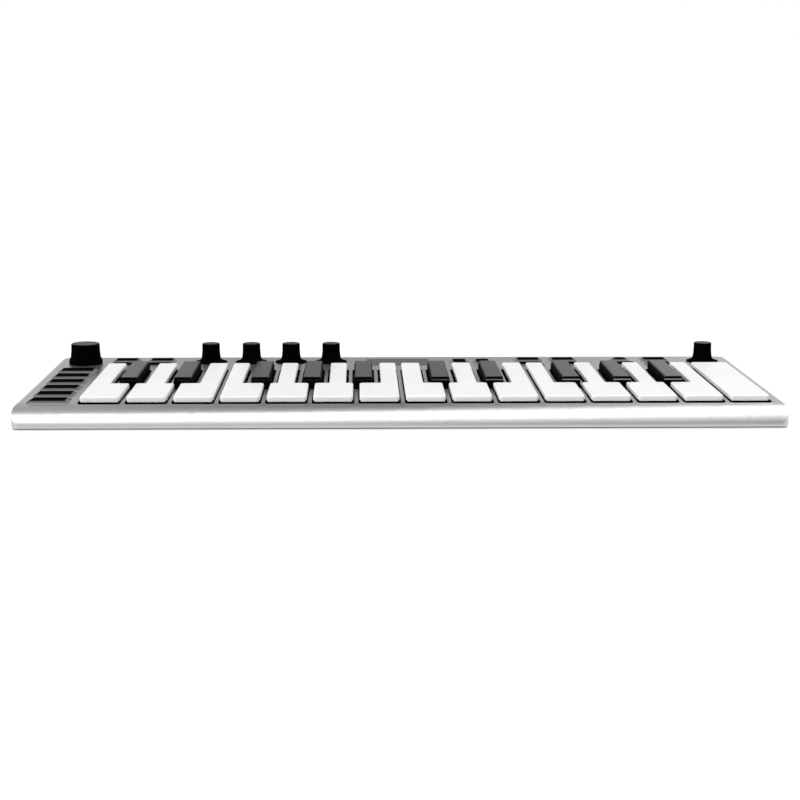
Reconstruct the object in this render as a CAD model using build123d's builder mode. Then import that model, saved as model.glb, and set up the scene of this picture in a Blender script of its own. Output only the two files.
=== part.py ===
from build123d import *
import os

# A slim aluminium synthesizer with 25 full-size keys, six knobs and twenty buttons.
# Frame: X to the right, Y to the back, Z up, millimetres.
# Origin: on the standing surface, under the middle of the body.

os.makedirs("parts", exist_ok=True)

# ---- Driving dimensions ----

body_width = 388.0
body_depth = 158.0
foot_height = 1.2
cover_thickness = 1.2
cover_lip = 0.5            # the part of the cover that shows below the shell
shell_height = 11.5        # standing face of the cover to the deck
wall = 1.6                 # aluminium wall and deck
nose_length = 16.0         # the front rolls over from the deck to the vertical face
nose_height = 9.5
front_corner_radius = 3.5
rear_corner_radius = 10.0
edge_radius = 2.2          # ends and back, between the deck and the sides
seam = 0.1                 # gap between shell and cover
bottom_chamfer = 0.6

key_pitch = 23.5           # white keys, centre to centre
key_width = 20.2
key_rise = 2.8             # white key above the deck
black_rise = 5.5           # black key above the deck
key_front = 14.9           # distances from the front of the body to the white keys
key_notch = 54.4
key_rear = 119.0
first_key_x = -152.0
black_zone = 18.25         # room between two white stems for one black key
black_width = 10.0
black_front = 56.3
black_rear = 109.5
slot_rear = 111.8          # end of the key slots in the deck
hinge_depth = 116.5        # distance from the front of the body to the hinge rod

column_x = -177.7          # the side buttons
column_first = 18.3        # front side button, from the front of the body
column_pitch = 18.05
rear_row = 143.0           # rear strip rows, from the front of the body
front_row = 127.4
knob_row = 139.2
button_rise = 1.2

# ---- Worked-out heights and places ----

front = -body_depth / 2
back = body_depth / 2
cover_bottom = foot_height
cover_top = cover_bottom + cover_thickness
shell_bottom = cover_bottom + cover_lip + seam
deck = foot_height + shell_height
deck_under = deck - wall
white_top = deck + key_rise
black_top = deck + black_rise
hinge_y = front + hinge_depth


def from_front(distance):
    """Y of a point at this distance behind the front of the body."""
    return front + distance


def at_height(sketch, height):
    """The same sketch, lifted."""
    return sketch.moved(Location((0, 0, height)))


def save(part, name):
    """Label one finished piece and write it."""
    part.label = name
    export_step(part, f"parts/{name}.step")


# ---- Keyboard layout ----

# An octave is three white keys with two black ones, then four with three.
groups = []
next_key = 0
for white_count in (3, 4, 3, 4):
    groups.append((next_key, white_count))
    next_key += white_count
white_total = next_key + 1       # the last C closes the keyboard as a plain bar


def head_left(index):
    """Left edge of the wide front part of a white key."""
    return first_key_x + index * key_pitch - key_width / 2


whites = []                      # (head left, head right, stem left, stem right)
black_centres = []
for first, count in groups:
    group_left = head_left(first)
    group_width = (count - 1) * key_pitch + key_width
    stem_width = (group_width - (count - 1) * black_zone) / count
    for step in range(count):
        left = head_left(first + step)
        stem_left = group_left + step * (stem_width + black_zone)
        whites.append((left, left + key_width, stem_left, stem_left + stem_width))
        if step < count - 1:
            black_centres.append(stem_left + stem_width + black_zone / 2)
last_left = head_left(white_total - 1)
whites.append((last_left, last_left + key_width, last_left, last_left + key_width))

stem_centres = [(stem_left + stem_right) / 2 for _, _, stem_left, stem_right in whites]
lever_centres = sorted(stem_centres + black_centres)

# ---- Controls layout: (name, x, distance from the front) ----

rear_left_x = (-154.9, -134.7)
rear_right_x = (76.6, 96.6, 129.9, 149.9)
round_x = rear_right_x[2]
menu_x = (36.4, 49.7)
menu_row = 136.6
knob_x = [-106.3, -83.1, -60.35, -37.35, 177.4]
main_knob_x = -177.5
main_knob_row = 135.5

side_top = (17.3, 9.4)           # flat black tops of the buttons
side_flank = (1.6, 3.2)          # sloping silver flanks, to the sides and to front and back
nose_drop = 0.5                  # the nose lies this far below the deck at the first side button
rear_top = (12.0, 8.2)
rear_flank = (1.6, 2.9)
menu_top = (7.0, 10.6)
menu_flank = (1.6, 1.7)
round_top = 7.2
round_flank = 1.8

# name: (x, y, top size, flank)
buttons = {}
for step in range(6):
    place = from_front(column_first + step * column_pitch)
    buttons[f"side_button_{step + 1}"] = (column_x, place, side_top, side_flank)
rear_places = [(x, rear_row) for x in rear_left_x] + [(x, front_row) for x in rear_left_x]
rear_places += [(x, rear_row) for x in rear_right_x if x != round_x]
rear_places += [(x, front_row) for x in rear_right_x]
for step, (x, distance) in enumerate(rear_places):
    buttons[f"rear_button_{step + 1}"] = (x, from_front(distance), rear_top, rear_flank)
for step, x in enumerate(menu_x):
    buttons[f"menu_button_{step + 1}"] = (x, from_front(menu_row), menu_top, menu_flank)

display_x = 1.0
display_y = from_front(137.0)
display_size = (35.2, 23.4)
display_corner = 1.2
display_gap = 0.12

# ---- Rear sockets ----

jack_x = (-121.0, -23.0, 62.0)
jack_bore = 3.6
jack_collar = 5.4
jack_hole = 5.8
jack_width = 6.4
jack_bore_length = 14.0
usb_x = 115.0
usb_size = (8.9, 3.2)
usb_wall = 0.3
usb_length = 8.5
socket_recess = 0.3              # socket mouths sit this far inside the back face
board_bottom = 4.6
board_thickness = 1.0
board_top = board_bottom + board_thickness
jack_z = board_top + 2.5
solder_gap = 0.05                # the sockets stand this far above the board
usb_z = board_top + solder_gap + usb_size[1] / 2

# ---- Fasteners ----

boss_front_x = (-190.0, -94.4, 1.5, 118.25, 190.0)
boss_rear_x = (-190.0, -94.4, 1.5, 107.0, 190.0)
boss_radius = 2.2
boss_front = 9.5
boss_rear = 152.6
boss_rear_corner = 149.5
screw_radius = 1.2
boss_hole_radius = 1.25
screw_clearance_radius = 1.4
screw_head_radius = 2.2
screw_head_depth = 0.9
screw_length = 6.0
boss_hole_depth = 6.5

boss_places = [(x, from_front(boss_front)) for x in boss_front_x]
for x in boss_rear_x:
    at_corner = abs(x) > body_width / 2 - 20
    boss_places.append((x, from_front(boss_rear_corner if at_corner else boss_rear)))

# ---- Top housing ----

slot_gap = 0.7             # white key to deck, at the straight sides
front_gap = 3.7            # white key to deck, at the front
stem_gap = 1.25            # white stem to deck, on a black key's side
slot_corner = 0.9
slot_front_corner = 2.0
black_slot_width = 12.0
black_slot_front = 50.5
black_slot_corner = 2.0
button_gap = 0.25
bushing_hole_radius = 3.6


def body_plan(inset):
    """Plan outline of the body, inset by a constant margin."""
    with BuildSketch() as plan:
        Rectangle(body_width - 2 * inset, body_depth - 2 * inset)
        fillet(plan.vertices().group_by(Axis.Y)[0], front_corner_radius - inset)
        fillet(plan.vertices().group_by(Axis.Y)[-1], rear_corner_radius - inset)
    return plan.sketch


def body_section(inset, bottom):
    """Side outline of the body: flat deck, rolled nose, vertical back with a rounded edge."""
    nose_end = front + nose_length
    nose_foot = deck - nose_height
    face = front + inset
    rear = back - inset
    top = deck - inset
    corner = edge_radius - inset
    with BuildSketch(Plane.YZ) as section:
        with BuildLine():
            EllipticalCenterArc(
                (nose_end, nose_foot), nose_length - inset, nose_height - inset, 90, arc_size=90
            )
            Polyline((face, nose_foot), (face, bottom), (rear, bottom), (rear, top - corner))
            CenterArc((rear - corner, top - corner), corner, 0, 90)
            Line((rear - corner, top), (nose_end, top))
        make_face()
    return section.sketch


def body_outline(inset):
    """Front outline of the body: both upper corners rounded, open-ended below."""
    bottom = -3
    with BuildSketch(Plane.XZ) as outline:
        with Locations((0, (deck - inset + bottom) / 2)):
            Rectangle(body_width - 2 * inset, deck - inset - bottom)
        fillet(outline.vertices().group_by(Axis.Y)[-1], edge_radius - inset)
    return outline.sketch


def button_plan(name, margin):
    """Plan outline of a button's foot with a margin all round, at its place."""
    if name == "round_button":
        with BuildSketch() as foot:
            with Locations((round_x, from_front(rear_row))):
                Circle(round_top / 2 + round_flank + margin)
        return foot.sketch
    x, y, top, flank = buttons[name]
    with BuildSketch() as foot:
        with Locations((x, y)):
            RectangleRounded(
                top[0] + 2 * (flank[0] + margin),
                top[1] + 2 * (flank[1] + margin),
                foot_corner + margin,
            )
    return foot.sketch


foot_corner = 3.2
button_names = list(buttons) + ["round_button"]
knobs = {"main_knob": (main_knob_x, from_front(main_knob_row))}
for step, x in enumerate(knob_x):
    knobs[f"control_knob_{step + 1}"] = (x, from_front(knob_row))


def white_slot(index):
    """Corners of the two rectangles that make one white key's slot."""
    left, right, stem_left, stem_right = whites[index]
    gap_left = slot_gap if stem_left - left < 0.01 else stem_gap
    gap_right = slot_gap if right - stem_right < 0.01 else stem_gap
    low = from_front(key_front) - front_gap
    head = (left - slot_gap, right + slot_gap, low, from_front(key_notch) + slot_gap)
    stem = (stem_left - gap_left, stem_right + gap_right, low, from_front(slot_rear))
    return head, stem


def rectangle_between(left, right, low, high):
    """Draw a rectangle from its four limits."""
    with Locations(((left + right) / 2, (low + high) / 2)):
        Rectangle(right - left, high - low)


with BuildPart() as cavity:
    extrude(body_plan(wall), amount=deck)
    extrude(body_section(wall, -1), amount=body_width, both=True, mode=Mode.INTERSECT)
    extrude(body_outline(wall), amount=back + 5, both=True, mode=Mode.INTERSECT)

with BuildPart() as top_housing:
    extrude(body_plan(0), amount=deck + 1)
    extrude(body_section(0, shell_bottom), amount=body_width, both=True, mode=Mode.INTERSECT)
    extrude(body_outline(0), amount=back + 5, both=True, mode=Mode.INTERSECT)
    chamfer(top_housing.faces().sort_by(Axis.Z)[0].edges(), bottom_chamfer)
    add(cavity.part, mode=Mode.SUBTRACT)
    # key slots
    for index in range(white_total):
        with BuildSketch(Plane.XY.offset(deck + 1)) as slot:
            for limits in white_slot(index):
                rectangle_between(*limits)
            front_corners = slot.vertices().group_by(Axis.Y)[0]
            fillet([v for v in slot.vertices() if v not in front_corners], slot_corner)
            fillet(slot.vertices().group_by(Axis.Y)[0], slot_front_corner)
        extrude(amount=-wall - 2, mode=Mode.SUBTRACT)
    with BuildSketch(Plane.XY.offset(deck + 1)):
        middle = from_front((black_slot_front + slot_rear) / 2)
        with Locations([(x, middle) for x in black_centres]):
            RectangleRounded(black_slot_width, slot_rear - black_slot_front, black_slot_corner)
    extrude(amount=-wall - 2, mode=Mode.SUBTRACT)
    # openings for the controls and the display
    for name in button_names:
        opening = at_height(button_plan(name, button_gap), deck + 1)
        extrude(opening, amount=-wall - 2, mode=Mode.SUBTRACT)
    with BuildSketch(Plane.XY.offset(deck + 1)):
        with Locations(*knobs.values()):
            Circle(bushing_hole_radius)
        with Locations((display_x, display_y)):
            RectangleRounded(
                display_size[0] + 2 * display_gap,
                display_size[1] + 2 * display_gap,
                display_corner + display_gap,
            )
    extrude(amount=-wall - 2, mode=Mode.SUBTRACT)
    # openings in the back wall
    with BuildSketch(Plane.XZ.offset(-back - 1)):
        with Locations([(x, jack_z) for x in jack_x]):
            Circle(jack_hole / 2)
        with Locations((usb_x, usb_z)):
            SlotOverall(usb_size[0] + 0.6, usb_size[1] + 0.6)
    extrude(amount=wall + 2, mode=Mode.SUBTRACT)
    # screw bosses, from the deck down to the cover
    with BuildSketch(Plane.XY.offset(cover_top)):
        with Locations(*boss_places):
            Circle(boss_radius)
    extrude(amount=nose_height - 1)
    with BuildSketch(Plane.XY.offset(cover_top + nose_height - 2)):
        with Locations(*boss_places[len(boss_front_x):]):
            Circle(boss_radius)
    extrude(amount=deck - wall / 2 - (cover_top + nose_height - 2))
    with BuildSketch(Plane.XY.offset(cover_top)):
        with Locations(*boss_places):
            Circle(boss_hole_radius)
    extrude(amount=boss_hole_depth, mode=Mode.SUBTRACT)
save(top_housing.part, "top_housing")


# ---- Bottom cover, feet and screws ----

cover_inset = 0.3
cover_fit = 0.15
spacer_radius = 2.5
spacer_places = [
    (-180.5, from_front(26.3)),
    (-180.5, from_front(80.9)),
    (-140.0, from_front(131.0)),
    (-71.5, from_front(128.5)),
    (25.0, from_front(128.5)),
    (86.5, from_front(134.4)),
    (163.5, from_front(128.5)),
]
foot_radius = 7.0
foot_places = [(x, y) for x in (-168.0, 0.0, 168.0) for y in (front + 22, back - 22)]

with BuildPart() as bottom_cover:
    with BuildSketch(Plane.XY.offset(cover_bottom)) as cover_plan:
        Rectangle(body_width - 2 * cover_inset, body_depth - 2 * cover_inset)
        fillet(cover_plan.vertices().group_by(Axis.Y)[0], front_corner_radius)
        fillet(cover_plan.vertices().group_by(Axis.Y)[-1], rear_corner_radius)
    extrude(amount=cover_lip)
    fillet(bottom_cover.faces().sort_by(Axis.Z)[0].edges(), 0.2)
    # the upper step of the cover fits inside the walls
    extrude(at_height(body_plan(wall + cover_fit), cover_bottom), amount=cover_thickness)
    with BuildSketch(Plane.XY.offset(cover_top)):
        with Locations(*spacer_places):
            Circle(spacer_radius)
    extrude(amount=board_bottom - cover_top)
    with Locations(Plane.XY.offset(cover_bottom).rotated((180, 0, 0))):
        with Locations([(x, -y) for x, y in boss_places]):
            CounterSinkHole(screw_clearance_radius, screw_head_radius + 0.1, cover_thickness)
save(bottom_cover.part, "bottom_cover")

with BuildPart() as rubber_feet:
    with BuildSketch():
        with Locations(*foot_places):
            Circle(foot_radius)
    extrude(amount=foot_height)
    fillet(rubber_feet.edges().group_by(Axis.Z)[0], 0.4)
save(rubber_feet.part, "rubber_feet")

with BuildPart() as screw:
    with BuildSketch(Plane.XZ):
        with BuildLine():
            head_top = cover_bottom + 0.1
            cone_end = head_top + screw_head_depth
            Polyline(
                (0, head_top),
                (screw_head_radius, head_top),
                (screw_radius, cone_end),
                (screw_radius, head_top + screw_length - 0.5),
                (screw_radius - 0.5, head_top + screw_length),
                (0, head_top + screw_length),
                close=True,
            )
        make_face()
    revolve(axis=Axis.Z)
    with BuildSketch(Plane.XY.offset(head_top)):
        Rectangle(2.6, 0.5)
        Rectangle(0.5, 2.6)
    extrude(amount=0.6, mode=Mode.SUBTRACT)

with BuildPart() as cover_screws:
    with Locations([(x, y, 0) for x, y in boss_places]):
        add(screw.part)
save(cover_screws.part, "cover_screws")

# ---- Key frame and hinge rod ----

frame_bottom = cover_top
frame_floor = frame_bottom + 0.5
rail_top = 4.4
frame_left = -165.0
frame_right = 189.5
rod_radius = 1.0
eye_bore_radius = 1.05
eye_radius = 2.3
hinge_z = 8.2
eye_width = 5.0
lever_width = 3.0
lever_bottom = 6.9
lever_top = deck_under - 0.3
comb_thickness = 2.0
comb_low = 113.0
comb_high = 119.0
guide_gap = 0.15
guide_thickness = 1.4
white_guide_width = 8.0
black_guide_width = 4.6
white_guide_front = 16.0
white_guide_top = 8.7
black_guide_front = 56.9
black_guide_top = 8.2
guide_depth = 2.6
rails = ((14.2, 20.0), (55.8, 60.4), (108.0, 122.0))   # low and high distances from the front

comb_centres = [lever_centres[0] - 7]
comb_centres += [(a + b) / 2 for a, b in zip(lever_centres, lever_centres[1:])]
comb_centres.append(lever_centres[-1] + 7)
head_centres = [(left + right) / 2 for left, right, _, _ in whites]


def cheek_centres(centres, guided_width):
    """X of both guide cheeks of every key in a row."""
    offset = guided_width / 2 + guide_gap + guide_thickness / 2
    return [x + side * offset for x in centres for side in (-1, 1)]


with BuildPart() as key_frame:
    middle = (frame_left + frame_right) / 2
    low = from_front(rails[0][0])
    high = from_front(rails[-1][1])
    with BuildSketch(Plane.XY.offset(frame_bottom)):
        with Locations((middle, (low + high) / 2)):
            Rectangle(frame_right - frame_left, high - low)
    extrude(amount=frame_floor - frame_bottom)
    with BuildSketch(Plane.XY.offset(frame_floor)):
        for rail_low, rail_high in rails:
            rectangle_between(frame_left, frame_right, from_front(rail_low), from_front(rail_high))
    extrude(amount=rail_top - frame_floor)
    with BuildSketch(Plane.XY.offset(rail_top)):
        y = from_front(white_guide_front + guide_depth / 2)
        with Locations([(x, y) for x in cheek_centres(head_centres, white_guide_width)]):
            Rectangle(guide_thickness, guide_depth)
    extrude(amount=white_guide_top - rail_top)
    with BuildSketch(Plane.XY.offset(rail_top)):
        y = from_front(black_guide_front + guide_depth / 2)
        with Locations([(x, y) for x in cheek_centres(black_centres, black_guide_width)]):
            Rectangle(guide_thickness, guide_depth)
    extrude(amount=black_guide_top - rail_top)
    with BuildSketch(Plane.XY.offset(rail_top)):
        y = from_front((comb_low + comb_high) / 2)
        with Locations([(x, y) for x in comb_centres]):
            Rectangle(comb_thickness, comb_high - comb_low)
    extrude(amount=lever_top - rail_top)
    with BuildSketch(Plane.YZ.offset(frame_left - 5)):
        with Locations((hinge_y, hinge_z)):
            Circle(rod_radius)
    extrude(amount=body_width, mode=Mode.SUBTRACT)
save(key_frame.part, "key_frame")

with BuildPart() as hinge_rod:
    rod_left = comb_centres[0] - comb_thickness
    rod_right = comb_centres[-1] + comb_thickness
    with BuildSketch(Plane.YZ.offset(rod_left)):
        with Locations((hinge_y, hinge_z)):
            Circle(rod_radius)
    extrude(amount=rod_right - rod_left)
save(hinge_rod.part, "hinge_rod")

# ---- Keys ----

deck_clearance = 0.35      # cap above the deck where it overlaps it behind the slots
cap_wall = 1.4
cap_roof = 1.2
black_depth = 1.2          # black caps reach this far down into their slots
cap_corner = 1.7
cap_inner_corner = 0.4
cap_edge = 0.7
slot_clearance = 0.5       # lever to the rear end of the slot
tab_reach = 4.7
tab_top = deck_under - 0.95
tab_bottom = tab_top - 1.4
white_guide_low = 7.6
black_guide_low = 7.1
lever_front = 32.0
black_lever_front = 60.0


def draw_white_outline(index, margin):
    """Plan outline of one white key, grown or shrunk by a margin."""
    left, right, stem_left, stem_right = whites[index]
    low = from_front(key_front)
    rectangle_between(left - margin, right + margin, low - margin, from_front(key_notch) + margin)
    rectangle_between(
        stem_left - margin, stem_right + margin, low - margin, from_front(key_rear) + margin
    )


def block(left, right, low, high, bottom, top, mode=Mode.ADD):
    """Add or cut a block given by its six limits."""
    with Locations(((left + right) / 2, (low + high) / 2, (bottom + top) / 2)):
        Box(right - left, high - low, top - bottom, mode=mode)


def add_lever(x, lever_start, roof):
    """Add the rib, the neck under the deck and the hinge eye to a key."""
    half = lever_width / 2
    rib_end = from_front(slot_rear) - slot_clearance
    block(x - half, x + half, lever_start, rib_end, lever_bottom, roof)
    block(x - half, x + half, lever_start, hinge_y, lever_bottom, lever_top)
    with Locations((x, hinge_y, hinge_z)):
        Cylinder(eye_radius, eye_width, rotation=(0, 90, 0))
        Cylinder(eye_bore_radius, 2 * eye_width, rotation=(0, 90, 0), mode=Mode.SUBTRACT)


for index in range(white_total):
    left, right, stem_left, stem_right = whites[index]
    head_x = (left + right) / 2
    cap_bottom = deck
    cap_front = from_front(key_front)
    with BuildPart() as white_key:
        with BuildSketch(Plane.XY.offset(cap_bottom)) as outline:
            draw_white_outline(index, 0)
            notch = outline.vertices().filter_by(
                lambda v: abs(v.Y - from_front(key_notch)) < 0.01 and left + 0.1 < v.X < right - 0.1
            )
            outer = [v for v in outline.vertices() if v not in notch]
            fillet(outer, cap_corner)
            if notch:
                corners = outline.vertices().filter_by(
                    lambda v: abs(v.Y - from_front(key_notch)) < 0.01
                    and min(abs(v.X - stem_left), abs(v.X - stem_right)) < 0.01
                )
                fillet(corners, cap_inner_corner)
        extrude(amount=white_top - cap_bottom)
        fillet(white_key.faces().sort_by(Axis.Z)[-1].edges(), cap_edge)
        # hollow underside
        pocket_front = cap_front + cap_wall
        head_end = from_front(key_notch) - cap_wall
        stem_end_y = from_front(slot_rear) - slot_clearance
        roof = white_top - cap_roof
        block(
            left + cap_wall, right - cap_wall, pocket_front, head_end, cap_bottom, roof, Mode.SUBTRACT
        )
        block(
            stem_left + cap_wall,
            stem_right - cap_wall,
            pocket_front,
            stem_end_y - cap_wall,
            cap_bottom,
            roof,
            Mode.SUBTRACT,
        )
        # the rear end lies over the deck, with a small clearance
        block(
            stem_left - 1,
            stem_right + 1,
            stem_end_y,
            back,
            cap_bottom - 1,
            deck + deck_clearance,
            Mode.SUBTRACT,
        )
        # guide tongue and up-stop tab under the front edge
        half = white_guide_width / 2
        tongue_rear = pocket_front + cap_wall
        block(head_x - half, head_x + half, pocket_front, tongue_rear, white_guide_low, roof)
        block(
            head_x - half, head_x + half, cap_front - tab_reach, tongue_rear, tab_bottom, tab_top
        )
        add_lever((stem_left + stem_right) / 2, from_front(lever_front), white_top - cap_roof)
    save(white_key.part, f"white_key_{index + 1:02d}")

black_step = deck + 4.1          # the lower block ends here in a narrow sloping shoulder
ledge = 0.5
black_side_inset = 0.4
black_bevel = 0.55
black_front_edge = 0.2
black_wall = 1.5
black_corner = 0.8
black_tongue_inset = 0.6

for number, x in enumerate(black_centres):
    low = from_front(black_front)
    high = from_front(black_rear)
    depth = high - low
    middle = (low + high) / 2
    black_bottom = deck - black_depth
    black_roof = black_top - cap_roof
    with BuildPart() as black_key:
        with BuildSketch(Plane.XY.offset(black_bottom)):
            with Locations((x, middle)):
                RectangleRounded(black_width, depth, black_corner)
        extrude(amount=black_step - ledge - black_bottom)
        extrude(black_key.faces().sort_by(Axis.Z)[-1], amount=ledge, taper=45)
        # upper block: its section has bevelled long edges
        with BuildSketch(Plane.XZ.offset(-(high - ledge))):
            with Locations((x, (black_step - ledge + black_top) / 2)):
                upper_height = black_top - black_step + ledge
                Rectangle(black_width - 2 * black_side_inset, upper_height)
        extrude(amount=depth - 2 * ledge)
        top_edges = black_key.faces().sort_by(Axis.Z)[-1].edges()
        chamfer(top_edges.filter_by(Axis.Y), black_bevel)
        top_edges = black_key.faces().sort_by(Axis.Z)[-1].edges()
        fillet(top_edges.filter_by(Axis.X), black_front_edge)
        with BuildSketch(Plane.XY.offset(black_bottom)):
            with Locations((x, middle)):
                Rectangle(black_width - 2 * black_wall, depth - 2 * black_wall)
        extrude(amount=black_roof - black_bottom, mode=Mode.SUBTRACT)
        half = black_guide_width / 2
        tongue_front = low + black_tongue_inset
        block(
            x - half,
            x + half,
            tongue_front,
            tongue_front + cap_wall,
            black_guide_low,
            black_bottom + 1,
        )
        add_lever(x, from_front(black_lever_front), black_roof)
    save(black_key.part, f"black_key_{number + 1:02d}")

# ---- Key contact board with its rubber dome strip ----

contact_board_low = 78.0
contact_board_high = 101.0
contact_board_bottom = frame_floor
contact_board_top = contact_board_bottom + 1.0
white_dome_row = 84.0
black_dome_row = 94.0
dome_top = 5.7
strip_thickness = 0.4

with BuildPart() as key_contacts:
    with BuildSketch(Plane.XY.offset(contact_board_bottom)):
        rectangle_between(
            frame_left + 5, frame_right - 1, from_front(contact_board_low), from_front(contact_board_high)
        )
    extrude(amount=contact_board_top - contact_board_bottom)
    with BuildSketch(Plane.XY.offset(contact_board_top)):
        rectangle_between(frame_left + 6, frame_right - 2, from_front(80.0), from_front(98.0))
    extrude(amount=strip_thickness)
    strip_top = contact_board_top + strip_thickness
    dome_places = [(x, from_front(white_dome_row)) for x in stem_centres]
    dome_places += [(x, from_front(black_dome_row)) for x in black_centres]
    with Locations([(x, y, strip_top) for x, y in dome_places]):
        Cone(3.2, 2.0, dome_top - strip_top, align=(Align.CENTER, Align.CENTER, Align.MIN))

# ---- Control board with the parts soldered to it ----

stem_radius = 1.7
switch_size = 6.0
switch_top = 6.9
actuator_radius = 1.5
actuator_top = 7.1
button_floor = 9.9
flange_top = deck_under - 0.5
stem_end = 7.8
pot_size = 9.6
encoder_size = 12.0
pot_top = 10.6
bushing_radius = 3.2
bushing_top = 12.1
shaft_radius = 2.0
shaft_clearance = 0.05
shaft_end = 6.7
button_places = [(x, y) for x, y, _, _ in buttons.values()] + [(round_x, from_front(rear_row))]

with BuildPart() as circuit_board:
    with BuildSketch(Plane.XY.offset(board_bottom)):
        rectangle_between(-183.9, -166.5, from_front(13.0), from_front(130.0))
        rectangle_between(-183.9, 183.9, from_front(122.8), from_front(149.5))
        with Locations((main_knob_x, from_front(main_knob_row))):
            Rectangle(encoder_size, encoder_size)
    extrude(amount=board_thickness)
    # push switches, at their pressed height
    with BuildSketch(Plane.XY.offset(board_top)):
        with Locations(*button_places):
            Rectangle(switch_size, switch_size)
    extrude(amount=switch_top - board_top)
    with BuildSketch(Plane.XY.offset(switch_top)):
        with Locations(*button_places):
            Circle(actuator_radius)
    extrude(amount=actuator_top - switch_top)
    # potentiometers and encoder with their bushings
    for name, (x, y) in knobs.items():
        size = encoder_size if name == "main_knob" else pot_size
        with BuildSketch(Plane.XY.offset(board_top)):
            with Locations((x, y)):
                Rectangle(size, size)
        extrude(amount=pot_top - board_top)
        with BuildSketch(Plane.XY.offset(pot_top)):
            with Locations((x, y)):
                Circle(bushing_radius)
        extrude(amount=bushing_top - pot_top)
        with BuildSketch(Plane.XY.offset(shaft_end - 0.3)):
            with Locations((x, y)):
                Circle(shaft_radius + shaft_clearance)
        extrude(amount=bushing_top, mode=Mode.SUBTRACT)
    # the second board, under the keys
    add(key_contacts.part)
save(circuit_board.part, "circuit_board")

# ---- Rear sockets: three for audio plugs, one for data ----

rear_face = back - socket_recess
jack_body_back = back - wall - 0.2
jack_body_depth = 13.5
jack_body_height = 5.0
usb_tongue = (6.6, 0.7)

with BuildPart() as rear_sockets:
    for x in jack_x:
        block(
            x - jack_width / 2,
            x + jack_width / 2,
            jack_body_back - jack_body_depth,
            jack_body_back,
            board_top + solder_gap,
            board_top + jack_body_height,
        )
    with BuildSketch(Plane.XZ.offset(-rear_face)):
        with Locations([(x, jack_z) for x in jack_x]):
            Circle(jack_collar / 2)
    extrude(amount=rear_face - jack_body_back)
    with BuildSketch(Plane.XZ.offset(-rear_face)):
        with Locations([(x, jack_z) for x in jack_x]):
            Circle(jack_bore / 2)
    extrude(amount=jack_bore_length, mode=Mode.SUBTRACT)
    # the data socket is a thin shell with a tongue inside
    with BuildSketch(Plane.XZ.offset(-rear_face)):
        with Locations((usb_x, usb_z)):
            SlotOverall(*usb_size)
    extrude(amount=usb_length)
    with BuildSketch(Plane.XZ.offset(-rear_face)):
        with Locations((usb_x, usb_z)):
            SlotOverall(usb_size[0] - 2 * usb_wall, usb_size[1] - 2 * usb_wall)
    extrude(amount=usb_length - 1, mode=Mode.SUBTRACT)
    with BuildSketch(Plane.XZ.offset(-rear_face + 0.8)):
        with Locations((usb_x, usb_z)):
            Rectangle(*usb_tongue)
    extrude(amount=usb_length - 1)
save(rear_sockets.part, "rear_sockets")

# ---- Display ----

display_top = deck - 0.05
pane_bottom = deck_under
module_margin = 1.6
module_bottom = 8.4

with BuildPart() as display_module:
    with BuildSketch(Plane.XY.offset(pane_bottom)):
        with Locations((display_x, display_y)):
            RectangleRounded(*display_size, display_corner)
    extrude(amount=display_top - pane_bottom)
    chamfer(display_module.faces().sort_by(Axis.Z)[-1].edges(), 0.15)
    with BuildSketch(Plane.XY.offset(module_bottom)):
        with Locations((display_x, display_y)):
            Rectangle(display_size[0] + 2 * module_margin, display_size[1] + 2 * module_margin)
    extrude(amount=pane_bottom - 0.1 - module_bottom)
    with BuildSketch(Plane.XY.offset(module_bottom)):
        with Locations((display_x, display_y)):
            Rectangle(display_size[0] - 2, display_size[1] - 2)
    extrude(amount=pane_bottom - module_bottom)
save(display_module.part, "display_module")

# ---- Buttons ----

button_top = deck + button_rise
top_corner = 0.7
flange_side = 0.5          # the flange reaches past the foot to the left and right only


def button_top_plan(name):
    """Plan outline of a button's flat black top, at its place."""
    if name == "round_button":
        with BuildSketch() as cap:
            with Locations((round_x, from_front(rear_row))):
                Circle(round_top / 2)
        return cap.sketch
    x, y, top, _ = buttons[name]
    with BuildSketch() as cap:
        with Locations((x, y)):
            RectangleRounded(*top, top_corner)
    return cap.sketch


for name in button_names:
    if name == "round_button":
        x, y = round_x, from_front(rear_row)
        size = (round_top, round_top)
        flank = (round_flank, round_flank)
    else:
        x, y, size, flank = buttons[name]
    # the front side button stands where the nose begins to fall
    foot_drop = nose_drop if name == "side_button_1" else 0
    foot = button_plan(name, 0)
    half_width = size[0] / 2 + flank[0] + flange_side
    half_depth = size[1] / 2 + 0.5
    with BuildPart() as button:
        loft(
            [at_height(foot, deck - foot_drop), at_height(button_top_plan(name), button_top)],
            ruled=True,
        )
        extrude(at_height(foot, flange_top), amount=deck - foot_drop - flange_top)
        block(
            x - half_width, x + half_width, y - half_depth, y + half_depth, button_floor, flange_top
        )
        with Locations((x, y, (stem_end + button_floor) / 2)):
            Cylinder(stem_radius, button_floor - stem_end)
    save(button.part, name)

# ---- Knobs ----

knob_gap = 0.2                   # between a knob's foot and the deck


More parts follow.
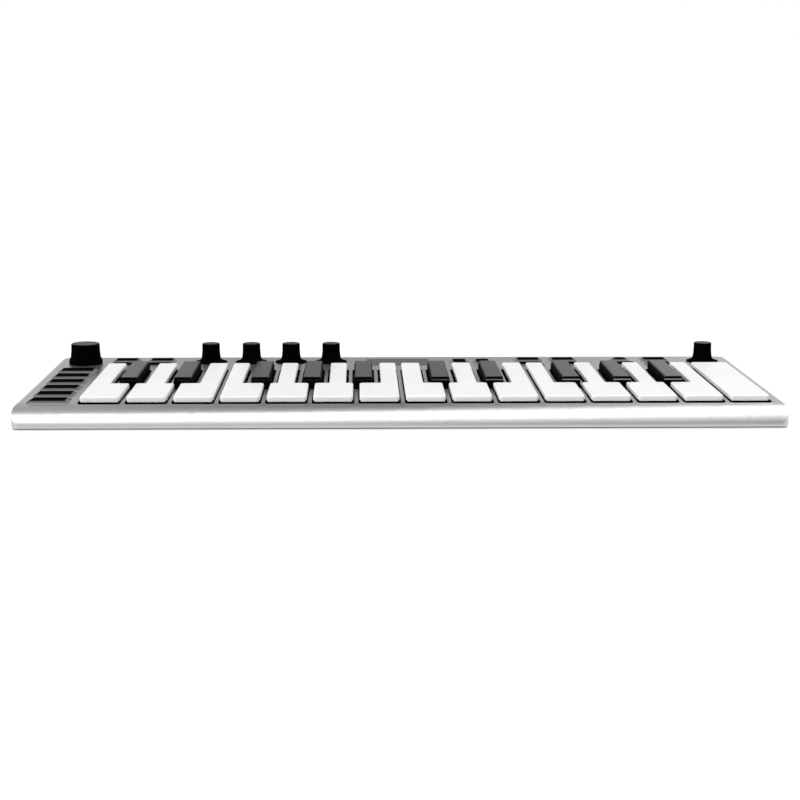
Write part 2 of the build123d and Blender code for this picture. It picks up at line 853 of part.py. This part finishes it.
def knob_profile(foot, waist, neck, top_radius, height, rim, pull):
    """Half outline of a knob above the deck. Points are (radius, height above the deck).

    The foot flares in to the waist, the waist runs on to the neck, and the neck rises to the
    rounded rim; pull bends the flare.
    """
    base = deck + knob_gap
    top = deck + height
    points = [(radius, deck + rise) for radius, rise in (foot, waist, neck)]
    (foot_x, foot_z), (waist_x, waist_z), (neck_x, neck_z) = points
    with BuildLine() as outline:
        Line((0, base), (foot_x, base))
        Line((foot_x, base), (foot_x, foot_z))
        Bezier(
            (foot_x, foot_z),
            (foot_x - pull[0], foot_z + pull[1]),
            (waist_x + pull[1] / 2, waist_z - pull[2]),
            (waist_x, waist_z),
        )
        Bezier(
            (waist_x, waist_z),
            (waist_x - 0.15, waist_z + 1),
            (neck_x + 0.05, neck_z - 1.6),
            (neck_x, neck_z),
        )
        Line((neck_x, neck_z), (top_radius, top - rim))
        CenterArc((top_radius - rim, top - rim), rim, 0, 90)
        Line((top_radius - rim, top), (0, top))
        Line((0, top), (0, base))
    return outline.line


small_profile = ((9.1, 0.45), (5.45, 3.0), (5.05, 7.0), 5.0, 11.05, 0.5, (1.9, 0.55, 1.7))
main_profile = ((9.45, 1.9), (8.5, 3.9), (8.1, 8.2), 8.0, 11.7, 0.6, (0.15, 0.6, 0.9))

for name, (x, y) in knobs.items():
    shape = main_profile if name == "main_knob" else small_profile
    with BuildPart() as knob:
        with BuildSketch(Plane.XZ) as half:
            add(knob_profile(*shape))
            make_face()
        revolve(axis=Axis.Z)
        with BuildSketch(Plane.XY.offset(shaft_end)):
            Circle(shaft_radius)
        extrude(amount=deck + 1 - shaft_end)
    save(knob.part.moved(Location((x, y, 0))), name)
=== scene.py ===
import math

import bpy
from mathutils import Matrix, Vector


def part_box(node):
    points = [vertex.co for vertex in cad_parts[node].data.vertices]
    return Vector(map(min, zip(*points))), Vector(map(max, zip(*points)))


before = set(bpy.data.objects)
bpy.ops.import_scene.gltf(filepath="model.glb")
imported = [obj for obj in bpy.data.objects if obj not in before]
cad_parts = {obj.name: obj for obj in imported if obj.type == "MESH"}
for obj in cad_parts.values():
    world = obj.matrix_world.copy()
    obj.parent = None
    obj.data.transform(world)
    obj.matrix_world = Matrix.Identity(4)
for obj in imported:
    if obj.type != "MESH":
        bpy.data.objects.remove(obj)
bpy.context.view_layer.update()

# A slim aluminium synthesizer on a pale studio floor.
# Lengths are in metres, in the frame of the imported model: X right, Y back, Z up.

MM = 0.001
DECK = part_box("display_module")[1].z    # the display lies flush with the deck

# ---- Node helpers ----


def fill(tree, node, inputs):
    """Fill inputs of a node: an output socket is linked, and any other value is set."""
    for name, value in inputs.items():
        if isinstance(value, bpy.types.NodeSocket):
            tree.links.new(value, node.inputs[name])
        else:
            node.inputs[name].default_value = value


def add_node(tree, kind, inputs, **attributes):
    """One new node, with its attributes set and its inputs filled."""
    node = tree.nodes.new(kind)
    for name, value in attributes.items():
        setattr(node, name, value)
    fill(tree, node, inputs)
    return node


def new_material(name):
    """An empty node material with its output and one Principled shader."""
    material = bpy.data.materials.new(name)
    material.use_nodes = True
    tree = material.node_tree
    tree.nodes.clear()
    shader = tree.nodes.new("ShaderNodeBsdfPrincipled")
    add_node(tree, "ShaderNodeOutputMaterial", {"Surface": shader.outputs["BSDF"]})
    return material, tree, shader


def axes(tree, space):
    """The X, Y and Z outputs of a place in one kind of texture coordinates."""
    place = tree.nodes.new("ShaderNodeTexCoord")
    split = add_node(tree, "ShaderNodeSeparateXYZ", {"Vector": place.outputs[space]})
    return split.outputs


def noise(tree, scale, detail):
    """A noise over the object's own coordinates."""
    place = tree.nodes.new("ShaderNodeTexCoord")
    inputs = {"Vector": place.outputs["Object"], "Scale": scale, "Detail": detail}
    return add_node(tree, "ShaderNodeTexNoise", inputs).outputs["Fac"]


def progress(tree, source, start, end, **attributes):
    """A factor that goes from 0 to 1 while a value goes from start to end."""
    inputs = {"Value": source, "From Min": start, "From Max": end}
    return add_node(tree, "ShaderNodeMapRange", inputs, **attributes).outputs["Result"]


def channels(colour):
    """Red, green and blue of a colour, which may be given as one grey level."""
    return colour if isinstance(colour, tuple) else (colour, colour, colour)


def ramp(tree, factor, stops):
    """Colours or grey levels over a factor, as (factor, colour) pairs."""
    node = add_node(tree, "ShaderNodeValToRGB", {"Fac": factor})
    elements = node.color_ramp.elements
    while len(elements) < len(stops):
        elements.new(0.5)
    for element, (place, colour) in zip(elements, stops):
        element.position = place
        element.color = (*channels(colour), 1)
    return node.outputs["Color"]


def spread(tree, source, low, high):
    """Values from low to high over the part of its range that a noise mostly fills."""
    noise_low, noise_high = 0.3, 0.7
    return ramp(tree, source, ((noise_low, low), (noise_high, high)))


def blend(tree, source, start, end, low, high):
    """Blend two colours smoothly while a value goes from start to end."""
    factor = progress(tree, source, start, end, interpolation_type="SMOOTHSTEP")
    mix = add_node(tree, "ShaderNodeMix", {"Factor": factor}, data_type="RGBA")
    for socket in mix.inputs:
        if socket.type == "RGBA":
            tree.links.new(low if socket.name == "A" else high, socket)
    return [output for output in mix.outputs if output.type == "RGBA"][0]


# ---- Materials ----

PLASTIC_TEXTURE = 0.08       # usual strength of the bumps in plastic


def add_grain(tree, shader, grain, smooth, rough, strength, depth):
    """A fine texture from one noise: it varies the roughness and tips the normal."""
    bump = add_node(
        tree,
        "ShaderNodeBump",
        {"Height": grain, "Strength": strength, "Distance": depth},
    )
    roughness = spread(tree, grain, smooth, rough)
    fill(tree, shader, {"Roughness": roughness, "Normal": bump.outputs["Normal"]})


def blasted_metal(name, tone, roughness):
    """Fine bead-blasted metal: a faint sparkle of grain over a soft sheen."""
    material, tree, shader = new_material(name)
    grain = noise(tree, scale=1800.0, detail=2.0)
    smooth = roughness - 0.03
    rough = roughness + 0.05
    add_grain(tree, shader, grain, smooth, rough, strength=0.3, depth=0.03 * MM)
    clouds = noise(tree, scale=18.0, detail=3.0)
    colour = spread(tree, clouds, tone, tone * 1.03)
    fill(tree, shader, {"Base Color": colour, "Metallic": 1.0})
    return material


def textured_plastic(name, roughness, ior, strength):
    """Plastic with a fine eroded texture and no colour of its own yet."""
    material, tree, shader = new_material(name)
    grain = noise(tree, scale=1500.0, detail=3.0)
    smooth = roughness * 0.9
    rough = min(1.0, roughness * 1.12)
    add_grain(tree, shader, grain, smooth, rough, strength, depth=0.02 * MM)
    fill(tree, shader, {"IOR": ior})
    return material, tree, shader


def moulded_plastic(name, colour, roughness, ior=1.45, strength=PLASTIC_TEXTURE):
    """Textured plastic of one colour with faint clouds in it."""
    material, tree, shader = textured_plastic(name, roughness, ior, strength)
    darker = tuple(channel * 0.96 for channel in channels(colour))
    clouds = noise(tree, scale=40.0, detail=2.0)
    fill(tree, shader, {"Base Color": spread(tree, clouds, darker, colour)})
    return material


def layered_plastic(name, reach, stops, roughness, ior):
    """Textured plastic whose grey changes with the height above the deck.

    The factors of the stops are 0 at the deck and 1 at the given reach above it.
    """
    material, tree, shader = textured_plastic(name, roughness, ior, PLASTIC_TEXTURE)
    height = progress(tree, axes(tree, "Object")["Z"], DECK, DECK + reach)
    fill(tree, shader, {"Base Color": ramp(tree, height, stops)})
    return material


def shoulder_reflection_plastic():
    """Black plastic with a painted reflection: greyer on the keys right of the middle, where
    the rounded shoulder catches light.
    """
    full_grey = 100 * MM
    material, tree, shader = new_material("black key shoulder with painted reflection")
    across = progress(tree, axes(tree, "Object")["X"], 0.0, full_grey)
    colour = ramp(tree, across, ((0.0, 0.004), (1.0, 0.2)))
    fill(tree, shader, {"Base Color": colour, "Roughness": 0.5, "IOR": 1.1})
    return material


ALUMINIUM = blasted_metal("blasted aluminium", 0.55, 0.31)
COVER = blasted_metal("cover aluminium", 0.6, 0.4)
# Near-black painted shade for the inside of the shell, where there is only shadow.
PAINTED_INTERIOR_SHADE = moulded_plastic("painted interior shade", 0.004, 0.7, ior=1.03)
# The flank's grey darkens up the slope toward the black top: painted shade. Its last band
# below the top is the black of the cap itself.
FLANK_WITH_PAINTED_SHADE = layered_plastic(
    "button flank with painted shade",
    reach=1.2 * MM,
    stops=((0, 0.2), (0.2, 0.18), (0.38, 0.1), (0.84, 0.095), (0.9, 0.001)),
    roughness=0.45,
    ior=1.3,
)
# Near black in the lowest 0.65 mm of the key's sides: a painted shadow where the gap under the
# key is dark.
WHITE_SIDE_PAINTED_SHADOW = layered_plastic(
    "white key side with painted shadow",
    reach=1 * MM,
    stops=((0, 0.002), (0.65, 0.002), (0.72, 0.75)),
    roughness=0.38,
    ior=1.38,
)
WHITE = moulded_plastic("white key plastic", 0.75, 0.38, ior=1.38, strength=0.03)
BLACK_TOP = moulded_plastic("black key top", 0.003, 0.16, ior=1.25, strength=0.03)
# The bevels are a lighter grey than the top: a painted sheen.
BLACK_BEVEL_PAINTED_SHEEN = moulded_plastic("black key bevel with painted sheen", 0.03, 0.5, ior=1.12)
BLACK_SIDE = moulded_plastic("black key side", 0.002, 0.6, ior=1.04)
# A painted reflection on the shoulder over the black keys' front faces.
SHOULDER_PAINTED_REFLECTION = shoulder_reflection_plastic()
KNOB_TOP = moulded_plastic("knob top", 0.004, 0.3, ior=1.2, strength=0.05)
KNOB_SIDE = moulded_plastic("knob side", 0.001, 0.6, ior=1.03)
CAP = moulded_plastic("button rubber", 0.001, 0.75, ior=1.02, strength=0.1)
SCREEN = moulded_plastic("display window", 0.003, 0.08, ior=1.3, strength=0.01)
LEVER = moulded_plastic("key lever plastic", 0.002, 0.6, ior=1.03)
FRAME_PLASTIC = moulded_plastic("frame plastic", 0.006, 0.6, ior=1.1)
STEEL = blasted_metal("steel", 0.5, 0.25)
SILICONE = moulded_plastic("silicone", (0.5, 0.5, 0.48), 0.6)
BOARD = moulded_plastic("circuit board lacquer", (0.01, 0.06, 0.03), 0.35)
RUBBER = moulded_plastic("foot rubber", 0.02, 0.8, ior=1.2)


# ---- CAD nodes ----

HARD_EDGE = math.radians(32)

# Limits for one part of a face's unit normal.
FLAT = 0.95          # upward: the face is a flat top
SLANTED = 0.3        # upward or forward: the face leans that way
SIDEWAYS = 0.7       # to the left or right: the face is a side
UPRIGHT = 0.2        # less upward or downward than this: the face is a wall


def shade(node):
    """Smooth shading that keeps hard edges and lets the large faces rule the normals."""
    for polygon in node.data.polygons:
        polygon.use_smooth = True
    node.data.set_sharp_from_angle(angle=HARD_EDGE)
    weighted = node.modifiers.new("weighted normals", "WEIGHTED_NORMAL")
    weighted.mode = "FACE_AREA_WITH_ANGLE"
    weighted.keep_sharp = True


def highest(node, polygon):
    """Height of the top corner of one polygon."""
    return max(node.data.vertices[corner].co.z for corner in polygon.vertices)


def paint(node, materials, choose):
    """Give a node its materials; choose(polygon) picks one by its place in the list."""
    node.data.materials.clear()
    for material in materials:
        node.data.materials.append(material)
    for polygon in node.data.polygons:
        polygon.material_index = choose(polygon)


def paint_white_key(node):
    """White above the deck, with a painted shadow along the foot of both sides, and a black
    lever below it.
    """

    def choose(polygon):
        if polygon.center.z < DECK:
            return 1
        # The sides get the painted shadow along their foot.
        return 2 if abs(polygon.normal.x) > SIDEWAYS else 0

    paint(node, (WHITE, LEVER, WHITE_SIDE_PAINTED_SHADOW), choose)


def paint_black_key(node):
    """Satin top, dull bevels painted a lighter grey as a painted sheen, matt sides, and a
    shoulder over the front face with a painted reflection.
    """
    lower_block = DECK + 4.15 * MM
    shoulder_foot = DECK + 3.5 * MM

    def choose(polygon):
        upward = polygon.normal.z
        if highest(node, polygon) < lower_block:
            faces_front = upward > SLANTED and polygon.normal.y < -SLANTED
            # The shoulder over the front face gets the painted reflection.
            return 3 if faces_front and polygon.center.z > shoulder_foot else 2
        if upward > FLAT:
            return 0
        # Bevels get the lighter grey of the painted sheen.
        return 1 if upward > SLANTED else 2

    paint(node, (BLACK_TOP, BLACK_BEVEL_PAINTED_SHEEN, BLACK_SIDE, SHOULDER_PAINTED_REFLECTION), choose)


def paint_knob(node):
    """A satin top, with the upper half of its rounded edge, on a matt side."""
    edge_slope = 0.6
    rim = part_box(node.name)[1].z - 0.8 * MM

    def choose(polygon):
        return 1 if polygon.normal.z < edge_slope or polygon.center.z < rim else 0

    paint(node, (KNOB_TOP, KNOB_SIDE), choose)


def paint_button(node):
    """A black top between silver flanks, whose grey darkens toward the top as painted shade.
    """
    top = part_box(node.name)[1].z - 0.05 * MM
    paint(node, (FLANK_WITH_PAINTED_SHADE, CAP), lambda polygon: 1 if polygon.center.z > top else 0)


def paint_shell(node):
    """Bare aluminium outside; a near-black painted shade inside and in the walls of the
    openings, standing in for the shadow there.

    The deck's openings lie between the outer walls, behind the nose and above the skirt.
    """
    side_wall, rear_wall, nose, skirt = 2 * MM, 3 * MM, 8 * MM, 10 * MM
    middle = Vector((0, 0, DECK / 2))
    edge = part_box(node.name)[1] - Vector((side_wall, rear_wall, 0))

    def choose(polygon):
        place = polygon.center
        # Inward faces, and the walls of the openings, get the painted shade.
        if polygon.normal.dot(place - middle) < 0:
            return 1
        between_walls = abs(place.x) < edge.x and nose - edge.y < place.y < edge.y
        in_deck = skirt < place.z < DECK
        return 1 if between_walls and in_deck and abs(polygon.normal.z) < UPRIGHT else 0

    paint(node, (ALUMINIUM, PAINTED_INTERIOR_SHADE), choose)


def paint_boards(node):
    """Green lacquer on both boards and silicone on the dome strip under the keys."""
    strip_rear = 30 * MM
    strip_end = 176 * MM
    strip_foot = 3.95 * MM

    def choose(polygon):
        place = polygon.center
        on_strip = place.y < strip_rear and abs(place.x) < strip_end
        return 1 if on_strip and place.z > strip_foot else 0

    paint(node, (BOARD, SILICONE), choose)


FINISHES = {
    "bottom_cover": COVER,
    "key_frame": FRAME_PLASTIC,
    "hinge_rod": STEEL,
    "cover_screws": STEEL,
    "rear_sockets": FRAME_PLASTIC,
    "display_module": SCREEN,
    "rubber_feet": RUBBER,
}

for name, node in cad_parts.items():
    # The shell keeps the normals it came with: weighted ones make wavy highlights on its nose.
    if name != "top_housing":
        shade(node)
    if name.startswith("white_key"):
        paint_white_key(node)
    elif name.startswith("black_key"):
        paint_black_key(node)
    elif "knob" in name:
        paint_knob(node)
    elif "button" in name:
        paint_button(node)
    elif name == "top_housing":
        paint_shell(node)
    elif name == "circuit_board":
        paint_boards(node)
    else:
        paint(node, (FINISHES[name],), lambda polygon: 0)

# ---- Camera ----


def add_camera():
    """The camera of the product view: low, nearly straight on, a little left of the middle."""
    position = Vector((-0.021754, -0.904855, 0.170751))
    pitch = math.radians(10.600)
    yaw = math.radians(1.449)
    roll = math.radians(0.109)
    pixel = 1 / 800
    data = bpy.data.cameras.new("camera")
    data.sensor_width = 36.0
    data.lens = 76.246
    data.shift_x = -0.5 * pixel
    data.shift_y = 0.2 * pixel
    camera = bpy.data.objects.new("camera", data)
    forward = Vector((
        math.sin(yaw) * math.cos(pitch),
        math.cos(yaw) * math.cos(pitch),
        -math.sin(pitch),
    ))
    level_right = Vector((math.cos(yaw), -math.sin(yaw), 0))
    level_up = level_right.cross(forward)
    right = level_right * math.cos(roll) + level_up * math.sin(roll)
    up = level_up * math.cos(roll) - level_right * math.sin(roll)
    rotation = Matrix((right, up, -forward)).transposed()
    camera.matrix_world = Matrix.Translation(position) @ rotation.to_4x4()
    bpy.context.scene.collection.objects.link(camera)
    bpy.context.scene.camera = camera


add_camera()

# ---- Floor and light ----


def add_floor():
    """A large pale floor that gives off light of its own, so that it stays nearly white."""
    half = 30.0
    corners = [(-half, -half, 0), (half, -half, 0), (half, half, 0), (-half, half, 0)]
    mesh = bpy.data.meshes.new("floor")
    mesh.from_pydata(corners, [], [(0, 1, 2, 3)])
    floor = bpy.data.objects.new("floor", mesh)
    bpy.context.scene.collection.objects.link(floor)
    material, tree, shader = new_material("pale floor")
    look = {
        "Base Color": (0.1, 0.1, 0.1, 1),
        "Roughness": 1.0,
        "Specular IOR Level": 0.0,
        "Emission Color": (1, 1, 1, 1),
        "Emission Strength": 0.94,
    }
    fill(tree, shader, look)
    mesh.materials.append(material)


def add_softbox(name, centre, target, size, turn, radiance):
    """One rectangular area light that faces a target, turned about its own axis."""
    data = bpy.data.lights.new(name, "AREA")
    data.shape = "RECTANGLE"
    data.size, data.size_y = size
    data.energy = radiance * math.pi * size[0] * size[1]
    light = bpy.data.objects.new(name, data)
    facing = (Vector(target) - Vector(centre)).to_track_quat("-Z", "Y").to_matrix()
    spin = Matrix.Rotation(turn, 3, "Z")
    light.matrix_world = Matrix.Translation(centre) @ (facing @ spin).to_4x4()
    bpy.context.scene.collection.objects.link(light)


def add_world():
    """Studio surroundings: white at the horizon, a backdrop behind, a lighter room in front.

    The factors of the ramps are heights on the unit sphere of directions. The backdrop is
    darker in its middle than in its wings. In front, the light grows toward the top and
    toward the left.
    """
    middle_stops = (
        (0, 1.0), (0.055, 1.0), (0.09, 0.47), (0.21, 0.38), (0.32, 0.42), (0.5, 0.05), (1, 0.2)
    )
    wing_stops = (
        (0, 1.0), (0.055, 1.0), (0.09, 0.78), (0.21, 0.7), (0.35, 0.8), (0.6, 0.75), (1, 0.6)
    )
    room_stops = (
        (0, 0.44), (0.1, 0.54), (0.2, 0.65), (0.3, 0.72), (0.45, 1.0), (0.6, 1.25), (0.8, 1.6),
        (1, 1.9),
    )
    middle_end = 0.04
    wing_start = 0.24
    front_end = -0.25
    back_start = 0.25
    left_lift = -1.2

    world = bpy.data.worlds.new("studio")
    bpy.context.scene.world = world
    world.use_nodes = True
    tree = world.node_tree
    tree.nodes.clear()
    direction = axes(tree, "Generated")
    middle = ramp(tree, direction["Z"], middle_stops)
    wings = ramp(tree, direction["Z"], wing_stops)
    aside = add_node(tree, "ShaderNodeMath", {0: direction["X"]}, operation="ABSOLUTE")
    backdrop = blend(tree, aside.outputs["Value"], middle_end, wing_start, middle, wings)
    tilted = add_node(
        tree,
        "ShaderNodeMath",
        {0: direction["X"], 1: left_lift, 2: direction["Z"]},
        operation="MULTIPLY_ADD",
    )
    room = ramp(tree, tilted.outputs["Value"], room_stops)
    colour = blend(tree, direction["Y"], front_end, back_start, room, backdrop)
    background = add_node(tree, "ShaderNodeBackground", {"Color": colour})
    add_node(tree, "ShaderNodeOutputWorld", {"Surface": background.outputs["Background"]})


add_floor()
add_world()
add_softbox(
    "overhead softbox",
    centre=(0, -0.42, 1.5),
    target=(0, -0.42, 0),
    size=(4.0, 0.85),
    turn=math.radians(55),
    radiance=1.8,
)
bpy.context.scene.view_settings.view_transform = "Standard"
